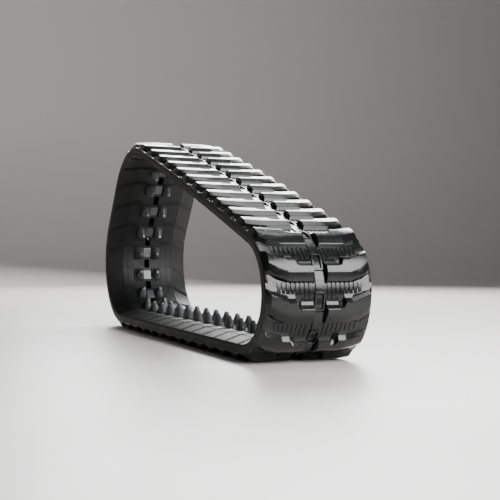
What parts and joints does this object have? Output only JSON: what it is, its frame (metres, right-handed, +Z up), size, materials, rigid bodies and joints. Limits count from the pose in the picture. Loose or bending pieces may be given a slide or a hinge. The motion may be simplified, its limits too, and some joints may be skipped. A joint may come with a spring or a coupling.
{
  "type": "rubber track",
  "caption": "Endless rubber crawler track standing as a free loop, with barred tread lugs outside, and steel cores with guide horns and drive windows inside.",
  "frame": {"origin": "on the ground, at the middle of the standing loop's length and width", "axes": "+X along the ground towards the large front bend, +Y across the belt to its left side, +Z up"},
  "size_m": [1.6874, 0.32, 0.6899],
  "materials": {
    "rubber": "semi-gloss moulded black rubber",
    "core_steel": "forged steel bonded under a thin black rubber skin",
    "steel_cord": "brass-plated steel wire cord band"
  },
  "bodies": {
    "bottom": {"rubber_bottom_left": "rubber", "rubber_bottom_right": "rubber", "cord_bottom_left": "steel_cord", "cord_bottom_right": "steel_cord", "core_01": "core_steel", "core_02": "core_steel", "core_03": "core_steel", "core_04": "core_steel", "core_05": "core_steel", "core_06": "core_steel", "core_07": "core_steel", "core_08": "core_steel", "core_09": "core_steel", "core_10": "core_steel", "core_11": "core_steel", "core_12": "core_steel", "core_13": "core_steel"},
    "front": {"rubber_front_left": "rubber", "rubber_front_right": "rubber", "cord_front_left": "steel_cord", "cord_front_right": "steel_cord", "core_14": "core_steel", "core_15": "core_steel", "core_16": "core_steel", "core_17": "core_steel"},
    "top": {"rubber_top_left": "rubber", "rubber_top_right": "rubber", "cord_top_left": "steel_cord", "cord_top_right": "steel_cord", "core_18": "core_steel", "core_19": "core_steel", "core_20": "core_steel", "core_21": "core_steel", "core_22": "core_steel", "core_23": "core_steel", "core_24": "core_steel", "core_25": "core_steel", "core_26": "core_steel", "core_27": "core_steel", "core_28": "core_steel", "core_29": "core_steel", "core_30": "core_steel", "core_31": "core_steel", "core_32": "core_steel", "core_33": "core_steel", "core_34": "core_steel"},
    "rear": {"rubber_rear_left": "rubber", "rubber_rear_right": "rubber", "cord_rear_left": "steel_cord", "cord_rear_right": "steel_cord", "core_35": "core_steel", "core_36": "core_steel", "core_37": "core_steel", "core_38": "core_steel"}
  },
  "joints": [
    {"name": "rear_flex", "type": "hinge", "parent": "bottom", "child": "rear", "pos_m": [-0.61609, 0, 0.03622], "axis": [0, 1, 0], "range_deg": [-6.1, 6.1], "stiffness_Nm_per_rad": 3000},
    {"name": "front_flex", "type": "hinge", "parent": "bottom", "child": "front", "pos_m": [0.68365, 0, 0.03827], "axis": [0, 1, 0], "range_deg": [-6, 6], "stiffness_Nm_per_rad": 3000},
    {"name": "top_flex", "type": "hinge", "parent": "front", "child": "top", "pos_m": [0.71413, 0, 0.33814], "axis": [0, 1, 0], "range_deg": [-6, 6], "stiffness_Nm_per_rad": 3000}
  ],
  "couplings": [
    {"joint": "rear_flex", "follows": "front_flex", "ratio": 1.0091},
    {"joint": "top_flex", "follows": "front_flex", "ratio": -0.8613}
  ]
}
